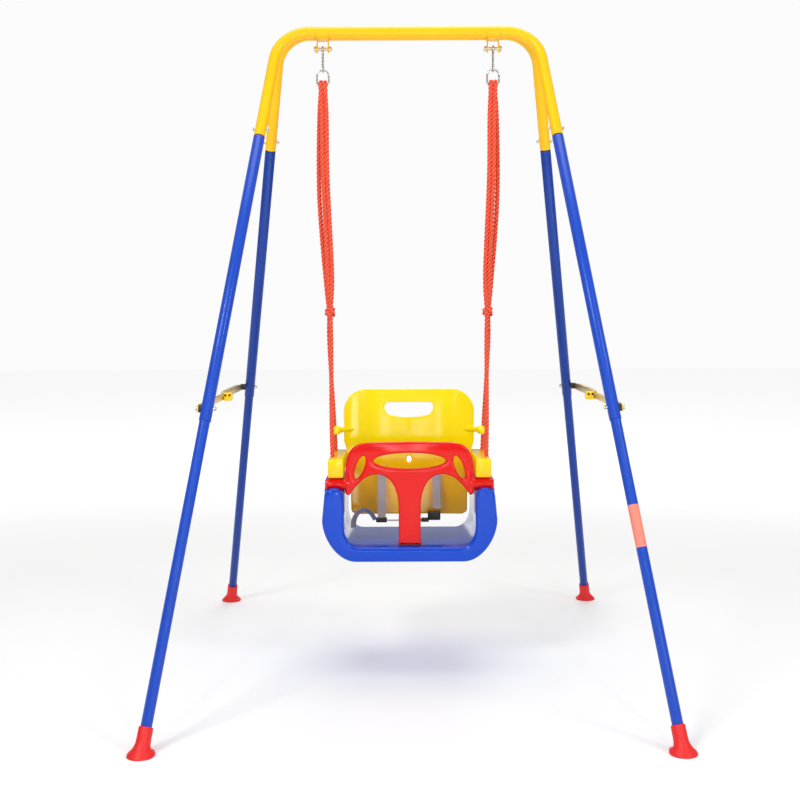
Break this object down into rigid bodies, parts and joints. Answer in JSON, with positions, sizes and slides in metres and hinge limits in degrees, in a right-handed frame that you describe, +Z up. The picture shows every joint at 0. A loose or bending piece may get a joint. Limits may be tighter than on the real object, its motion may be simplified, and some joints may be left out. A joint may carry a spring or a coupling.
{
  "type": "folding toddler swing on an a-frame stand",
  "caption": "Folding tubular A-frame stand with a moulded toddler bucket seat hung on twisted ropes, with a T-shaped guard and a waist belt.",
  "frame": {"origin": "on the ground, midway between the four feet, under the middle of the top bars", "axes": "+Z up, +X to the user's right along the top bars, +Y backwards, away from where the seat faces"},
  "size_m": [1.078, 1.2694, 1.4853],
  "materials": {
    "yellow_tube": "glossy powder coat, bright yellow",
    "blue_tube": "glossy powder coat, bright blue",
    "red_rubber": "satin moulded rubber, red",
    "bolt_zinc": "yellow passivated zinc plating",
    "link_zinc": "yellow passivated zinc plating",
    "black_plastic": "matte moulded plastic, black",
    "yellow_plastic": "glossy moulded plastic, bright yellow",
    "wire_chrome": "bright plated wire",
    "rope": "three-strand twisted rope, orange red",
    "webbing": "woven webbing, light grey",
    "blue_plastic": "glossy moulded plastic, bright blue",
    "red_plastic": "glossy moulded plastic, bright red"
  },
  "bodies": {
    "front_frame": {"front_top_tube": "yellow_tube", "front_left_upper_leg": "blue_tube", "front_left_lower_leg": "blue_tube", "front_left_foot": "red_rubber", "front_left_joint_bolt": "bolt_zinc", "front_left_pivot_bolt": "bolt_zinc", "front_left_spacer": "black_plastic", "front_right_upper_leg": "blue_tube", "front_right_lower_leg": "blue_tube", "front_right_foot": "red_rubber", "front_right_joint_bolt": "bolt_zinc", "front_right_pivot_bolt": "bolt_zinc", "front_right_spacer": "black_plastic", "left_hanger_bracket": "yellow_tube", "left_hanger_bolt": "bolt_zinc", "right_hanger_bracket": "yellow_tube", "right_hanger_bolt": "bolt_zinc"},
    "rear_frame": {"rear_top_tube": "yellow_tube", "rear_left_upper_leg": "blue_tube", "rear_left_lower_leg": "blue_tube", "rear_left_foot": "red_rubber", "rear_left_joint_bolt": "bolt_zinc", "rear_left_pivot_bolt": "bolt_zinc", "rear_left_spacer": "black_plastic", "rear_right_upper_leg": "blue_tube", "rear_right_lower_leg": "blue_tube", "rear_right_foot": "red_rubber", "rear_right_joint_bolt": "bolt_zinc", "rear_right_pivot_bolt": "bolt_zinc", "rear_right_spacer": "black_plastic"},
    "left_front_link": {"front_left_link": "link_zinc", "left_brace_lock": "yellow_plastic"},
    "right_front_link": {"front_right_link": "link_zinc", "right_brace_lock": "yellow_plastic"},
    "left_rear_link": {"rear_left_link": "link_zinc"},
    "right_rear_link": {"rear_right_link": "link_zinc"},
    "swing": {"left_carabiner": "wire_chrome", "left_ring": "wire_chrome", "left_rope": "rope", "left_strap": "webbing", "right_carabiner": "wire_chrome", "right_ring": "wire_chrome", "right_rope": "rope", "right_strap": "webbing", "seat_shell": "blue_plastic", "backrest": "yellow_plastic", "strap_tail": "webbing", "left_adjuster": "black_plastic", "centre_strap": "webbing", "buckle": "black_plastic", "right_adjuster": "black_plastic"},
    "guard": {"guard_bar": "red_plastic"},
    "left_gate": {"left_carabiner_gate": "wire_chrome"},
    "right_gate": {"right_carabiner_gate": "wire_chrome"}
  },
  "joints": [
    {"name": "fold", "type": "hinge", "parent": "front_frame", "child": "rear_frame", "pos_m": [0, 0.01375, 1.47], "axis": [-1, 0, 0], "range_deg": [0, 40]},
    {"name": "swinging", "type": "hinge", "parent": "front_frame", "child": "swing", "pos_m": [0, 0, 1.435], "axis": [1, 0, 0], "range_deg": [-35, 35]},
    {"name": "guard_turn", "type": "hinge", "parent": "swing", "child": "guard", "pos_m": [0, -0.1, 0.442], "axis": [-1, 0, 0], "range_deg": [0, 90]},
    {"name": "left_front_link_fold", "type": "hinge", "parent": "front_frame", "child": "left_front_link", "pos_m": [-0.4267, -0.3509, 0.63553], "axis": [1, 0, 0], "range_deg": [0, 69]},
    {"name": "left_rear_link_fold", "type": "hinge", "parent": "rear_frame", "child": "left_rear_link", "pos_m": [-0.4267, 0.3509, 0.63553], "axis": [-1, 0, 0], "range_deg": [0, 57]},
    {"name": "left_gate_press", "type": "hinge", "parent": "swing", "child": "left_gate", "pos_m": [-0.196, -0.009, 1.4003], "axis": [-1, 0, 0], "range_deg": [0, 25], "stiffness_Nm_per_rad": 0.01},
    {"name": "right_front_link_fold", "type": "hinge", "parent": "front_frame", "child": "right_front_link", "pos_m": [0.4267, -0.3509, 0.63553], "axis": [1, 0, 0], "range_deg": [0, 69]},
    {"name": "right_rear_link_fold", "type": "hinge", "parent": "rear_frame", "child": "right_rear_link", "pos_m": [0.4267, 0.3509, 0.63553], "axis": [-1, 0, 0], "range_deg": [0, 57]},
    {"name": "right_gate_press", "type": "hinge", "parent": "swing", "child": "right_gate", "pos_m": [0.196, -0.009, 1.4003], "axis": [-1, 0, 0], "range_deg": [0, 25], "stiffness_Nm_per_rad": 0.01}
  ],
  "couplings": [
    {"joint": "left_front_link_fold", "follows": "fold", "ratio": 1.7189},
    {"joint": "left_rear_link_fold", "follows": "fold", "ratio": 1.4161},
    {"joint": "right_front_link_fold", "follows": "fold", "ratio": 1.7189},
    {"joint": "right_rear_link_fold", "follows": "fold", "ratio": 1.4161}
  ]
}
